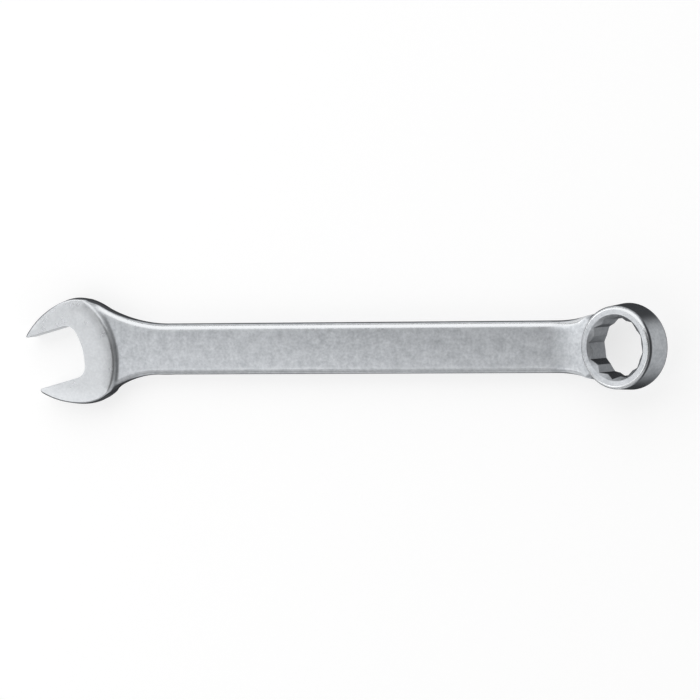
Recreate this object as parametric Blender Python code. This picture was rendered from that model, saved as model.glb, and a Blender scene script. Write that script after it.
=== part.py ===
"""Combination wrench: an open jaw and a 12-point ring on one flat shank.

The real tool is a single drop forging, so nothing here moves. It is drawn as three named
regions of that forging, the open end, the shank and the box end, which meet face to face
on two planes across the straight of the shank.
"""
import math

import bmesh
import bpy
from mathutils import Matrix, Vector

MM = 0.001

# The nut that both ends take
NUT_SIDES = 6
ACROSS_FLATS = 19.0 * MM
JAW_CLEARANCE = 0.10 * MM
BORE_CLEARANCE = 0.10 * MM

# Shank: a flat bar with rounded long edges
SHANK_WIDTH = 18.2 * MM
SHANK_THICKNESS = 6.5 * MM
SHANK_EDGE_RADIUS = 2.2 * MM
CENTRE_DISTANCE = 204.5 * MM
STRAIGHT_MARGIN = 2.0 * MM

# Open end: a round head, turned from the shank by the jaw angle
JAW_ANGLE = math.radians(15.0)
JAW_WALL = 9.65 * MM
HEAD_THICKNESS = 9.0 * MM
HEAD_OFFSET = 0.35 * MM
HEAD_EDGE_RADIUS = 0.8 * MM
JAW_NOSE = 0.1 * MM
JAW_SHIFT = 0.5 * MM
JAW_ARC_SHIFT = 11.3 * MM
JAW_TIP_WIDTH = 1.0 * MM
THROAT_DEPTH = 1.4 * MM
THROAT_RADIUS = 24.0 * MM
THROAT_CORNER_RADIUS = 4.2 * MM
PAD_REAR_RADIUS = 28.0 * MM
PAD_LAND = 11.9 * MM
BLANK_INSET = 0.95 * MM
WIDE_FLARE_RADIUS = 50.0 * MM
TIGHT_FLARE_RADIUS = 32.0 * MM

# Box end: a ring tipped up from the shank, so that knuckles clear the work
RING_ANGLE = math.radians(15.0)
RING_WALL = 4.0 * MM
RING_THICKNESS = 11.2 * MM
RING_EDGE_RADIUS = 1.4 * MM
LEAD_IN_WIDTH = 0.5 * MM
LEAD_IN_ANGLE = math.radians(45.0)
BOX_FLARE_RADIUS = 46.0 * MM
FLARE_INSET = 0.10 * MM
FRONT_STEP = 0.5 * MM
BACK_STEP = 1.5 * MM
BEND_LENGTH = 6.0 * MM
BORE_POINTS = 2 * NUT_SIDES
BORE_TURN = math.radians(-8.0)

# One plating covers the whole forging
CHROME = (0.58, 0.59, 0.61)
SATIN = 0.42

# How finely curves are drawn, and how far cutters reach past what they cut
ARC_STEPS = 24
EDGE_STEPS = 4
ROUND_STEPS = 96
BEND_STEPS = 6
SWELL_STEPS = 12
CUT_MARGIN = 3.0 * MM
CONE_RUN = 1.0 * MM
SAME_PLACE = 0.01 * MM

for leftover in list(bpy.data.objects):
    bpy.data.objects.remove(leftover, do_unlink=True)


def arc(centre, radius, start, end, steps=ARC_STEPS):
    """Points on a circle in the plan, from one angle to another."""
    middle = Vector(centre)
    turns = [start + (end - start) * step / steps for step in range(steps + 1)]
    return [middle + radius * Vector((math.cos(turn), math.sin(turn))) for turn in turns]


def heading(vector):
    return math.atan2(vector[1], vector[0])


def satin_chrome(name):
    """Chrome plating over a blasted forging: bare metal that scatters the light."""
    material = bpy.data.materials.new(name)
    material.use_nodes = True
    shader = material.node_tree.nodes["Principled BSDF"]
    shader.inputs["Base Color"].default_value = (*CHROME, 1.0)
    shader.inputs["Metallic"].default_value = 1.0
    shader.inputs["Roughness"].default_value = SATIN
    return material


def place(name, bm):
    """Turn the working mesh into an object in the scene."""
    bmesh.ops.recalc_face_normals(bm, faces=bm.faces[:])
    mesh = bpy.data.meshes.new(name)
    bm.to_mesh(mesh)
    bm.free()
    for polygon in mesh.polygons:
        polygon.use_smooth = True
    node = bpy.data.objects.new(name, mesh)
    bpy.context.collection.objects.link(node)
    return node


def level(edge):
    return abs(edge.verts[0].co.z - edge.verts[1].co.z) < SAME_PLACE


def round_off(bm, rims, radius):
    bmesh.ops.bevel(bm, geom=rims, offset=radius, segments=EDGE_STEPS, profile=0.5, affect="EDGES")


def plate(name, outline, thickness, edge_radius, square_ends=()):
    """A flat plate of the given outline, its long edges rounded but not on its square end planes."""
    bm = bmesh.new()
    corners = [bm.verts.new((point[0], point[1], -thickness / 2)) for point in outline]
    floor = bm.faces.new(corners)
    lifted = bmesh.ops.extrude_face_region(bm, geom=[floor])
    moved = [item for item in lifted["geom"] if isinstance(item, bmesh.types.BMVert)]
    bmesh.ops.translate(bm, verts=moved, vec=(0.0, 0.0, thickness))
    bm.edges.ensure_lookup_table()
    rims = []
    for edge in bm.edges:
        first, second = edge.verts
        reach = [max(abs(first.co.x - end), abs(second.co.x - end)) for end in square_ends]
        square = any(gap < SAME_PLACE for gap in reach)
        if level(edge) and not square:
            rims.append(edge)
    if edge_radius > 0:
        round_off(bm, rims, edge_radius)
    return place(name, bm)


def helper(node):
    """A shape that only adds to or cuts another one."""
    node.hide_render = True
    node.display_type = "WIRE"
    return node


def combine(node, other, operation):
    step = node.modifiers.new(f"{operation.lower()} {other.name}", "BOOLEAN")
    step.operation = operation
    step.solver = "EXACT"
    step.object = other


def flare(side, circle_centre, circle_radius, radius, toward):
    """A concave arc from the shank's edge to a round end: its centre, and where it meets each."""
    height = side * (SHANK_WIDTH / 2 + radius)
    reach = math.sqrt((circle_radius + radius) ** 2 - (height - circle_centre[1]) ** 2)
    centre = Vector((circle_centre[0] + toward * reach, height))
    on_circle = Vector(circle_centre).lerp(centre, circle_radius / (circle_radius + radius))
    return centre, heading(Vector((0.0, -side))), heading(on_circle - centre)


# Open end: the forged blank carries a thicker pad, and the jaw is milled out of both
head_centre = Vector((0.0, -HEAD_OFFSET))
mouth = Vector((-math.cos(JAW_ANGLE), -math.sin(JAW_ANGLE)))
across = Vector((mouth.y, -mouth.x))
half_opening = (ACROSS_FLATS + JAW_CLEARANCE) / 2
head_radius = half_opening + JAW_WALL


def on_head(points, shift=0.0):
    """Points given along the jaw's mouth and across it, placed from the head's centre."""
    return [head_centre + mouth * point[0] + across * (point[1] + shift) for point in points]


def mirrored(points):
    return [Vector((point[0], -point[1])) for point in reversed(points)]


blank_radius = head_radius - BLANK_INSET
wide_centre, wide_start, wide_end = flare(1.0, head_centre, blank_radius, WIDE_FLARE_RADIUS, 1.0)
tight_centre, tight_start, tight_end = flare(-1.0, head_centre, blank_radius, TIGHT_FLARE_RADIUS, 1.0)
open_plane = max(wide_centre.x, tight_centre.x) + STRAIGHT_MARGIN
round_start = heading(wide_centre - head_centre)
round_end = heading(tight_centre - head_centre) + math.tau

blank_outline = [Vector((open_plane, SHANK_WIDTH / 2))]
blank_outline += arc(wide_centre, WIDE_FLARE_RADIUS, wide_start, wide_end)
blank_outline += arc(head_centre, blank_radius, round_start, round_end, 2 * ARC_STEPS)[1:-1]
blank_outline += arc(tight_centre, TIGHT_FLARE_RADIUS, tight_end, tight_start)
blank_outline += [Vector((open_plane, -SHANK_WIDTH / 2))]
open_end = plate("open_end", blank_outline, SHANK_THICKNESS, SHANK_EDGE_RADIUS, (open_plane,))

# Each jaw's back is a larger arc that leaves the head's circle and runs to a blunt tip
tip = Vector((head_radius + JAW_NOSE, half_opening + JAW_TIP_WIDTH))
jaw_arc_radius = head_radius + JAW_ARC_SHIFT
tip_balance = (jaw_arc_radius**2 - JAW_ARC_SHIFT**2 - tip.length_squared) / (2 * JAW_ARC_SHIFT)
leave_turn = heading(tip) + math.acos(tip_balance / tip.length)
jaw_centre = -JAW_ARC_SHIFT * Vector((math.cos(leave_turn), math.sin(leave_turn)))
tip_turn = heading(tip - jaw_centre)

# The pad stops behind the throat in a shallow arc across the neck
rear_centre = Vector((PAD_REAR_RADIUS - THROAT_DEPTH - PAD_LAND, 0.0))
corner_along = (head_radius**2 + rear_centre.x**2 - PAD_REAR_RADIUS**2) / (2 * rear_centre.x)
corner = Vector((corner_along, math.sqrt(head_radius**2 - corner_along**2)))
rear_turn = heading(corner - rear_centre)
pad_side = arc(jaw_centre, jaw_arc_radius, tip_turn, leave_turn)
pad_side += arc((0.0, 0.0), head_radius, leave_turn, heading(corner))[1:]
pad_rear = arc(rear_centre, PAD_REAR_RADIUS, rear_turn, math.tau - rear_turn)[1:-1]
pad_outline = on_head(pad_side + pad_rear + mirrored(pad_side))
pad = helper(plate("pad", pad_outline, HEAD_THICKNESS, HEAD_EDGE_RADIUS))
combine(open_end, pad, "UNION")

# The jaw: two flats, joined at the throat by a shallow arc with rounded corners
floor_centre = Vector((THROAT_RADIUS - THROAT_DEPTH, 0.0))
corner_aside = half_opening - THROAT_CORNER_RADIUS
corner_back = math.sqrt((THROAT_RADIUS - THROAT_CORNER_RADIUS) ** 2 - corner_aside**2)
round_centre = Vector((floor_centre.x - corner_back, corner_aside))
floor_turn = heading(round_centre - floor_centre)
slot_side = [Vector((tip.x + CUT_MARGIN, half_opening))]
slot_side += arc(round_centre, THROAT_CORNER_RADIUS, math.pi / 2, floor_turn, ARC_STEPS // 2)
slot_floor = arc(floor_centre, THROAT_RADIUS, floor_turn, math.tau - floor_turn)[1:-1]
slot_outline = on_head(slot_side + slot_floor + mirrored(slot_side), JAW_SHIFT)
slot = helper(plate("jaw_slot", slot_outline, HEAD_THICKNESS + 2 * CUT_MARGIN, 0.0))
combine(open_end, slot, "DIFFERENCE")

# Box end: forged and broached flat, then bent up at the neck so that it rests level with the head
half_bore = (ACROSS_FLATS + BORE_CLEARANCE) / 2
star_outer = half_bore / math.cos(math.pi / NUT_SIDES)
star_inner = half_bore / math.cos(math.pi / BORE_POINTS)
ring_radius = star_outer + RING_WALL
half_ring = RING_THICKNESS / 2
ring_low = (ring_radius - RING_EDGE_RADIUS) * math.sin(RING_ANGLE)
ring_low += (half_ring - RING_EDGE_RADIUS) * math.cos(RING_ANGLE) + RING_EDGE_RADIUS
ring_lift = ring_low - HEAD_THICKNESS / 2
bend_radius = BEND_LENGTH / RING_ANGLE
ring_arm = (ring_lift - bend_radius * (1.0 - math.cos(RING_ANGLE))) / math.sin(RING_ANGLE)
bend_start = CENTRE_DISTANCE - ring_arm * math.cos(RING_ANGLE) - bend_radius * math.sin(RING_ANGLE)
ring_centre = Vector((bend_start + BEND_LENGTH + ring_arm, 0.0))
foot_radius = ring_radius - FLARE_INSET
neck_centre, neck_start, neck_end = flare(1.0, ring_centre, foot_radius, BOX_FLARE_RADIUS, -1.0)
box_plane = min(neck_centre.x, bend_start) - STRAIGHT_MARGIN
neck_side = [Vector((box_plane, SHANK_WIDTH / 2))]
neck_side += arc(neck_centre, BOX_FLARE_RADIUS, neck_start, neck_end)
neck_outline = neck_side + mirrored(neck_side)
flat_end = plate("flat_box_end", neck_outline, SHANK_THICKNESS, SHANK_EDGE_RADIUS, (box_plane,))
helper(flat_end)

# The neck swells smoothly from the shank's thickness, and meets the ring a step below each face
swell_end = ring_centre.x - ring_radius
front_swell = (half_ring - FRONT_STEP) / (SHANK_THICKNESS / 2) - 1.0
back_swell = (half_ring - BACK_STEP) / (SHANK_THICKNESS / 2) - 1.0
swell = bmesh.new()
swell.from_mesh(flat_end.data)
for step in range(1, SWELL_STEPS + 1):
    at = box_plane + (swell_end - box_plane) * step / SWELL_STEPS
    geometry = swell.verts[:] + swell.edges[:] + swell.faces[:]
    bmesh.ops.bisect_plane(swell, geom=geometry, plane_co=(at, 0.0, 0.0), plane_no=(1.0, 0.0, 0.0))
for vert in swell.verts:
    share = min(max((vert.co.x - box_plane) / (swell_end - box_plane), 0.0), 1.0)
    gain = front_swell if vert.co.z > 0.0 else back_swell
    vert.co.z *= 1.0 + gain * share**2 * (3.0 - 2.0 * share)
swell.to_mesh(flat_end.data)
swell.free()


def turned(name, low_radius, high_radius, low, high, edge_radius=0.0):
    """A disc or cone about the flat ring's axis, its rims rounded if asked."""
    bm = bmesh.new()
    sides = {"segments": ROUND_STEPS, "radius1": low_radius, "radius2": high_radius}
    bmesh.ops.create_cone(bm, cap_ends=True, depth=high - low, **sides)
    half_step = Matrix.Rotation(math.pi / ROUND_STEPS, 4, "Z")
    bmesh.ops.transform(bm, matrix=half_step, verts=bm.verts[:])
    bmesh.ops.translate(bm, verts=bm.verts[:], vec=(ring_centre.x, ring_centre.y, (low + high) / 2))
    if edge_radius > 0:
        round_off(bm, [edge for edge in bm.edges if level(edge)], edge_radius)
    return helper(place(name, bm))


ring_blank = turned("ring_blank", ring_radius, ring_radius, -half_ring, half_ring, RING_EDGE_RADIUS)
combine(flat_end, ring_blank, "UNION")

# The broached bore is two hexagons turned half a flat apart, with a lead-in cone on each face
star = []
for step in range(2 * BORE_POINTS):
    reach = star_inner if step % 2 else star_outer
    turn = BORE_TURN + math.pi * step / BORE_POINTS
    star.append(ring_centre + Vector((reach * math.cos(turn), reach * math.sin(turn))))
combine(flat_end, helper(plate("broach", star, RING_THICKNESS + 2 * CUT_MARGIN, 0.0)), "DIFFERENCE")
lead_in_radius = star_outer + LEAD_IN_WIDTH
cone_depth = (lead_in_radius - star_inner) / math.tan(LEAD_IN_ANGLE) + CONE_RUN
cone_low = lead_in_radius - cone_depth * math.tan(LEAD_IN_ANGLE)
cone_high = lead_in_radius + CUT_MARGIN * math.tan(LEAD_IN_ANGLE)
front_cone = turned("front_cone", cone_low, cone_high, half_ring - cone_depth, half_ring + CUT_MARGIN)
combine(flat_end, front_cone, "DIFFERENCE")
rear_cone = turned("rear_cone", cone_high, cone_low, -half_ring - CUT_MARGIN, cone_depth - half_ring)
combine(flat_end, rear_cone, "DIFFERENCE")

# The bend: the neck is cut into strips, and each is turned as far as it lies along the bend
bpy.context.view_layer.update()
graph = bpy.context.evaluated_depsgraph_get()
bent = bmesh.new()
bent.from_object(flat_end, graph)
for step in range(BEND_STEPS + 1):
    at = bend_start + BEND_LENGTH * step / BEND_STEPS
    geometry = bent.verts[:] + bent.edges[:] + bent.faces[:]
    bmesh.ops.bisect_plane(bent, geom=geometry, plane_co=(at, 0.0, 0.0), plane_no=(1.0, 0.0, 0.0))
for vert in bent.verts:
    run = min(max(vert.co.x - bend_start, 0.0), BEND_LENGTH)
    beyond = vert.co.x - bend_start - run
    turn = run / bend_radius
    along = bend_radius * math.sin(turn) + beyond * math.cos(turn) - vert.co.z * math.sin(turn)
    up = bend_radius * (1.0 - math.cos(turn)) + beyond * math.sin(turn) + vert.co.z * math.cos(turn)
    vert.co = (bend_start + along, vert.co.y, up)
box_end = place("box_end", bent)

# Shank: the straight bar between the two end planes
bar_outline = [
    Vector((open_plane, SHANK_WIDTH / 2)),
    Vector((open_plane, -SHANK_WIDTH / 2)),
    Vector((box_plane, -SHANK_WIDTH / 2)),
    Vector((box_plane, SHANK_WIDTH / 2)),
]
shank = plate("shank", bar_outline, SHANK_THICKNESS, SHANK_EDGE_RADIUS, (open_plane, box_plane))

open_end.data.materials.append(satin_chrome("satin chrome open end"))
shank.data.materials.append(satin_chrome("satin chrome shank"))
box_end.data.materials.append(satin_chrome("satin chrome box end"))

# The origin lies under the middle of the whole wrench, on the level it rests on
bpy.context.view_layer.update()
graph = bpy.context.evaluated_depsgraph_get()
corners = []
for node in (open_end, shank, box_end):
    corners += [Vector(point) for point in node.evaluated_get(graph).bound_box]
middle_x = (min(point.x for point in corners) + max(point.x for point in corners)) / 2
middle_y = (min(point.y for point in corners) + max(point.y for point in corners)) / 2
datum = bpy.data.objects.new("datum", None)
bpy.context.collection.objects.link(datum)
datum.location = (-middle_x, -middle_y, HEAD_THICKNESS / 2)
for node in (open_end, pad, slot, shank, box_end):
    node.parent = datum
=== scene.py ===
"""A combination wrench in satin chrome, lying on a pale floor in soft studio light."""
import math

import bpy
import numpy as np
from mathutils import Matrix, Vector


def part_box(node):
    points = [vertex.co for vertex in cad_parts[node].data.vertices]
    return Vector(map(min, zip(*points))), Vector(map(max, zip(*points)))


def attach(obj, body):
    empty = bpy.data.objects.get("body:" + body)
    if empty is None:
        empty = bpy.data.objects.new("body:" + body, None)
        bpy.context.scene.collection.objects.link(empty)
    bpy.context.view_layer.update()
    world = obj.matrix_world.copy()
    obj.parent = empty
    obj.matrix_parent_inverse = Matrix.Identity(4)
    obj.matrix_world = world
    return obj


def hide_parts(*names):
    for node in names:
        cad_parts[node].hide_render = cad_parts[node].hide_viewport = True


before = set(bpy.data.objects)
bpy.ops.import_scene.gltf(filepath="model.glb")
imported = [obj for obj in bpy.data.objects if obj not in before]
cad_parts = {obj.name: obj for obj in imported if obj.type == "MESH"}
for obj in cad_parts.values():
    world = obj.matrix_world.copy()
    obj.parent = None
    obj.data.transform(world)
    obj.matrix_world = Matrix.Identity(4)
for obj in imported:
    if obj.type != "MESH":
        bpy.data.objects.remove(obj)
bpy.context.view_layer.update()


# Shank: the straight middle of the forging, a flat bar with well-rounded long edges.
# Drop-forged chrome-vanadium steel, blasted and then plated in satin chrome.
# Both ends carry on from it without a joint, so each of its end planes is only a cut.
MM_PER_M = 1000.0
bar_start, bar_end = (np.array(corner) * MM_PER_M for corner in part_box("shank"))
bar_middle = (bar_start + bar_end) / 2
BAR_HALF_WIDTH = 9.1
BAR_HALF_THICKNESS = 3.25
BAR_EDGE = 2.2
BAR_CROWN = 0.35
BAR_FLANK = BAR_HALF_THICKNESS - BAR_EDGE - BAR_CROWN
EDGE_STEPS = 10
FLANK_STEPS = 3
BAR_FACE_POINTS = 25
BAR_ROWS = 73
SHARP_ANGLE = math.radians(26.0)

# Painted light over a rounded edge, by the share of the way out to its rim: a painted highlight,
# with some rubbing, over the upper half and painted shade on the flank below; and how much of
# that highlight each side of the bar has, by the place across it, most on the side towards the light
EDGE_PLACES = (-0.4, 0.0, 0.3, 0.68, 0.84, 0.96)
EDGE_PAINTED_LIGHT = (0.0, 0.4, 1.0, 1.0, -0.2, -0.9)
LIT_SIDE_PLACES = (-3.0, 3.0)
LIT_SIDE_HIGHLIGHT = (0.2, 1.0)

# Satin chrome: its colours, with a lighter one for rubbed metal and painted highlight and a dark
# one for painted shade, the roughness that each pattern and each of these brings, the tint at a
# grazing angle from plain metal to the painted shade, whose reflection it darkens, and the relief
# of the blasting, in metres
PLATING_DARK = (0.41, 0.43, 0.455, 1.0)
PLATING_LIGHT = (0.65, 0.67, 0.695, 1.0)
PLATING_STOPS = (0.1, 0.9)
RUBBED_METAL_AND_HIGHLIGHT = (0.70, 0.715, 0.73, 1.0)
PAINTED_SHADE_COLOUR = (0.10, 0.104, 0.11, 1.0)
CLOUD_ROUGHNESS = (0.16, 0.22)
DRIFT_ROUGHNESS = (0.14, 0.18)
RUBBED_AND_HIGHLIGHT_ROUGHNESS = (0.0, -0.13)
PAINTED_SHADE_ROUGHNESS = (0.0, 0.25)
GRAZING_SHADE_SPAN = (0.0, 0.3)
GRAZING_TINT = (0.8, 0.1)
GRAIN_RELIEF = (0.0, 0.3)
CLOUD_RELIEF = (0.0, 0.7)
RELIEF_STRENGTH = 0.5
RELIEF_DEPTH = 0.00012
NOISE_BAND = (0.3, 0.7)
WHOLE = (0.0, 1.0)
HALF = (0.0, 0.5)


def edge_drop(depth, width, height):
    """How far a rounded edge lies below its face: a quarter ellipse that falls by height at
    the rim, and by nothing once the depth in from the rim reaches the width."""
    outward = np.clip(1.0 - depth / width, 0.0, 1.0)
    return height * (1.0 - np.sqrt(1.0 - outward**2))


def bar_height(depth, edge):
    """How high the bar's face stands: a shallow crown that falls with the square of the way
    from the middle line to the rim, and then the rounded edge."""
    crown = BAR_CROWN * np.clip(1.0 - depth / BAR_HALF_WIDTH, 0.0, 1.0) ** 2
    return BAR_HALF_THICKNESS - crown - edge_drop(depth, edge, BAR_EDGE)


def edge_painted_light(depth, width, across):
    """The painted light over an edge, from 1, a painted highlight, to -1, painted shade: the upper
    half of the round has the painted highlight, most on the side towards the light, and the flank
    that it turns down to is painted dark as shade."""
    finish_and_painted_light = np.interp(1.0 - depth / width, EDGE_PLACES, EDGE_PAINTED_LIGHT)
    return np.where(finish_and_painted_light > 0.0, finish_and_painted_light * np.interp(across, LIT_SIDE_PLACES, LIT_SIDE_HIGHLIGHT), finish_and_painted_light)


def quarter(steps):
    """Even steps of angle over a quarter circle, as the share of the way across it."""
    return np.sin(np.linspace(0.0, math.pi / 2, steps + 1))


def shares(steps):
    """Even steps from 0 towards 1, without the last one, which is 1 itself."""
    return np.linspace(0.0, 1.0, steps + 1)[:-1]


def wrap_section(front, back, flank_steps, inner_steps):
    """A closed section from its front and its back, whose points are a place and a value of finish
    and painted light: along the front, straight down the outer flank, in along the back, which is
    turned over, and straight up the inner flank, both in even steps."""
    under = back[:, ::-1] * (1.0, 1.0, -1.0, 1.0)
    flank = front[:, -1:] + (under[:, :1] - front[:, -1:]) * shares(flank_steps)[1:, None]
    inner = under[:, -1:] + (front[:, :1] - under[:, -1:]) * shares(inner_steps)[1:, None]
    return np.concatenate((front, flank, under, inner), axis=1)


def forged_skin(name, points, comes_round=False):
    """The skin over a grid of points in millimetres. A row is one closed section, and the rows
    follow the forging. A path that comes round joins its last row to its first, and any other
    is shut by a flat cap at each end. A point's last value is its finish and painted light:
    above nought a lighter finish or painted highlight, below it painted shade."""
    rows, columns = points.shape[:2]
    index = np.arange(rows * columns).reshape(rows, columns)
    path = np.vstack((index, index[:1])) if comes_round else index
    beside = np.roll(path, -1, axis=1)
    quads = np.stack((path[:-1], path[1:], beside[1:], beside[:-1]), axis=-1).reshape(-1, 4)
    faces = quads.tolist()
    if not comes_round:
        faces += [index[0].tolist(), index[-1, ::-1].tolist()]
    mesh = bpy.data.meshes.new(name)
    mesh.from_pydata((points[..., :3].reshape(-1, 3) / MM_PER_M).tolist(), [], faces)
    mesh.shade_smooth()
    mesh.set_sharp_from_angle(angle=SHARP_ANGLE)
    mesh.attributes.new("finish_and_painted_light", "FLOAT", "POINT").data.foreach_set("value", points[..., 3].ravel())
    piece = bpy.data.objects.new(name, mesh)
    bpy.context.scene.collection.objects.link(piece)
    return piece


def satin_chrome(name):
    """Satin chrome: blasted steel under a thin plating. A fine grain pits it, soft clouds change
    its shine, and ground, milled and highlighted places are smoother and lighter, the highlights
    being painted highlight. Flanks and recesses are painted shade: a dark colour that is rougher
    and has little shine at a grazing angle."""
    material = bpy.data.materials.new(name)
    material.use_nodes = True
    tree = material.node_tree
    shader = tree.nodes["Principled BSDF"]
    shader.inputs["Metallic"].default_value = 1.0
    place = tree.nodes.new("ShaderNodeTexCoord")

    def noise(scale, detail, roughness):
        """A noise over the piece, with this many waves to the metre."""
        node = tree.nodes.new("ShaderNodeTexNoise")
        node.inputs["Scale"].default_value = scale
        node.inputs["Detail"].default_value = detail
        node.inputs["Roughness"].default_value = roughness
        tree.links.new(place.outputs["Object"], node.inputs["Vector"])
        return node.outputs["Fac"]

    def spread(value, given, wanted):
        """A value carried over evenly from one range to another, and held at its ends."""
        node = tree.nodes.new("ShaderNodeMapRange")
        tree.links.new(value, node.inputs["Value"])
        node.inputs["From Min"].default_value = given[0]
        node.inputs["From Max"].default_value = given[1]
        node.inputs["To Min"].default_value = wanted[0]
        node.inputs["To Max"].default_value = wanted[1]
        return node.outputs["Result"]

    def sum_of(first, second):
        """One value added to another."""
        node = tree.nodes.new("ShaderNodeMath")
        node.operation = "ADD"
        tree.links.new(first, node.inputs[0])
        tree.links.new(second, node.inputs[1])
        return node.outputs["Value"]

    def toned(colour, share, tone):
        """A colour turned towards a tone by a share."""
        node = tree.nodes.new("ShaderNodeMix")
        node.data_type = "RGBA"
        tree.links.new(share, node.inputs["Factor"])
        tree.links.new(colour, node.inputs["A"])
        node.inputs["B"].default_value = tone
        return node.outputs["Result"]

    grain = noise(scale=1000.0, detail=3.0, roughness=0.6)
    clouds = noise(scale=260.0, detail=5.0, roughness=0.62)
    drift = noise(scale=26.0, detail=2.0, roughness=0.5)
    # The per-point value of finish and painted light: above nought a lighter finish or painted
    # highlight, below it painted shade
    finish_and_painted_light = tree.nodes.new("ShaderNodeAttribute")
    finish_and_painted_light.attribute_name = "finish_and_painted_light"
    rubbed_and_highlight = spread(finish_and_painted_light.outputs["Fac"], WHOLE, WHOLE)
    painted_shade = spread(finish_and_painted_light.outputs["Fac"], (0.0, -1.0), WHOLE)

    plating = tree.nodes.new("ShaderNodeValToRGB")
    plating.color_ramp.elements[0].position = PLATING_STOPS[0]
    plating.color_ramp.elements[0].color = PLATING_DARK
    plating.color_ramp.elements[1].position = PLATING_STOPS[1]
    plating.color_ramp.elements[1].color = PLATING_LIGHT
    tone = sum_of(spread(grain, NOISE_BAND, HALF), spread(clouds, NOISE_BAND, HALF))
    tree.links.new(tone, plating.inputs["Fac"])
    # Painted highlight: the plating turns to a lighter colour, partly rubbed metal
    colour = toned(plating.outputs["Color"], rubbed_and_highlight, RUBBED_METAL_AND_HIGHLIGHT)
    # Painted shade: the plating turns to a dark colour
    tree.links.new(toned(colour, painted_shade, PAINTED_SHADE_COLOUR), shader.inputs["Base Color"])
    # Painted shade also darkens the reflection at a grazing angle
    tree.links.new(spread(painted_shade, GRAZING_SHADE_SPAN, GRAZING_TINT), shader.inputs["Specular Tint"])

    patterned = spread(clouds, NOISE_BAND, CLOUD_ROUGHNESS)
    patterned = sum_of(patterned, spread(drift, NOISE_BAND, DRIFT_ROUGHNESS))
    worn = sum_of(patterned, spread(rubbed_and_highlight, WHOLE, RUBBED_AND_HIGHLIGHT_ROUGHNESS))
    worn = sum_of(worn, spread(painted_shade, WHOLE, PAINTED_SHADE_ROUGHNESS))
    tree.links.new(worn, shader.inputs["Roughness"])

    bump = tree.nodes.new("ShaderNodeBump")
    bump.inputs["Strength"].default_value = RELIEF_STRENGTH
    bump.inputs["Distance"].default_value = RELIEF_DEPTH
    relief = sum_of(spread(grain, WHOLE, GRAIN_RELIEF), spread(clouds, WHOLE, CLOUD_RELIEF))
    tree.links.new(relief, bump.inputs["Height"])
    tree.links.new(bump.outputs["Normal"], shader.inputs["Normal"])
    return material


def finish_piece(piece, node):
    """Plate the piece, and let it ride on the wrench in place of its plain solid."""
    piece.data.materials.append(satin_chrome("satin chrome " + node))
    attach(piece, "root")
    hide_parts(node)


bar_round = BAR_HALF_WIDTH - BAR_EDGE * (1.0 - quarter(EDGE_STEPS))
bar_face = np.linspace(-bar_round[0], bar_round[0], BAR_FACE_POINTS)[1:-1]
bar_across = np.concatenate((-bar_round[::-1], bar_face, bar_round))
bar_along = np.linspace(bar_start[0], bar_end[0], BAR_ROWS)
bar_in = BAR_HALF_WIDTH - np.abs(bar_across)
bar_top = np.zeros((len(bar_along), len(bar_across), 4))
bar_top[:, :, 0] = bar_along[:, None]
bar_top[:, :, 1] = bar_across
bar_top[:, :, 2] = bar_height(bar_in, BAR_EDGE)
bar_top[:, :, 3] = edge_painted_light(bar_in, BAR_EDGE, bar_across)
bar_points = wrap_section(bar_top, bar_top, FLANK_STEPS, FLANK_STEPS)
bar_points[..., :3] += (0.0, bar_middle[1], bar_middle[2])
shank = forged_skin("forged_shank", bar_points)
finish_piece(shank, "shank")


# Open end: the forged head, a thick pad that stands proud of the neck, with the jaw milled
# through it at fifteen degrees to the shank. The same steel, with the pad's faces ground flat.
# Its neck flares out of the shank on a wide arc above and a tighter one below.
HEAD_OFFSET = 0.35
HEAD_RADIUS = 19.2
HEAD_HALF_THICKNESS = 4.5
HEAD_EDGE = 0.45
HEAD_DRAFT = 0.45
PARTING_HALF = 0.2
JAW_ANGLE = math.radians(15.0)
JAW_HALF_OPENING = 9.55
JAW_SHIFT = 0.5
JAW_REACH = 19.3
BACK_ARC_SHIFT = 11.3
LONG_TIP = 10.75
SHORT_TIP = 10.3
JAW_TIPS = ((LONG_TIP, 1.0), (SHORT_TIP, -1.0))
TIP_CUT = 0.5
TIP_ROUND = 0.42
THROAT_DEPTH = 1.4
THROAT_RADIUS = 24.0
THROAT_CORNER = 4.2
MILLED_EDGE = 0.25
PAD_REAR_RADIUS = 28.0
PAD_REAR_REACH = 13.3
PAD_CROWN = 0.3
PAD_CROWN_WIDTH = 5.5
STEP_CREST = 1.6
STEP_HOLLOW = 1.6
STEP_SLOPE = math.radians(52.5)
STEP_RUN = 1.4
BLANK_RADIUS = 18.25
BLANK_TURN = math.pi * 0.8
WIDE_FLARE = 50.0
TIGHT_FLARE = 32.0
STRAIGHT_RUN = 2.0
OUTLINE_EASE = 4.0
FAN_POLE = 4.5
UPPER_JAW = math.pi / 2
LOWER_JAW = math.pi * 1.5

# Points along the outlines, rows along the head, and steps over each band across a row
SLOT_POINTS = 60
BACK_POINTS = 80
REAR_POINTS = 200
NECK_POINTS = 160
PORT_POINTS = 201
RUN_POINTS = 2000
PROBE_POINTS = 401
TIP_ROWS = 7
JAW_ROWS = 28
UPPER_ROWS = 74
LOWER_ROWS = 64
MILLED_STEPS = 5
PAD_STEPS = 16
STEP_STEPS = 22
NECK_STEPS = 14
OUTER_STEPS = 11
SIDE_STEPS = 3
HEAD_FLANK_STEPS = 2
SLOT_WALL_STEPS = 3

# The most that a band may take of the room on its row, for the rows where a jaw is narrow
MOST_DRAFT = 0.35
MOST_EDGE = 0.4
MOST_MILLED = 0.15
MOST_TO_STEP = 0.70
MOST_PAST_STEP = 0.88


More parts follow.
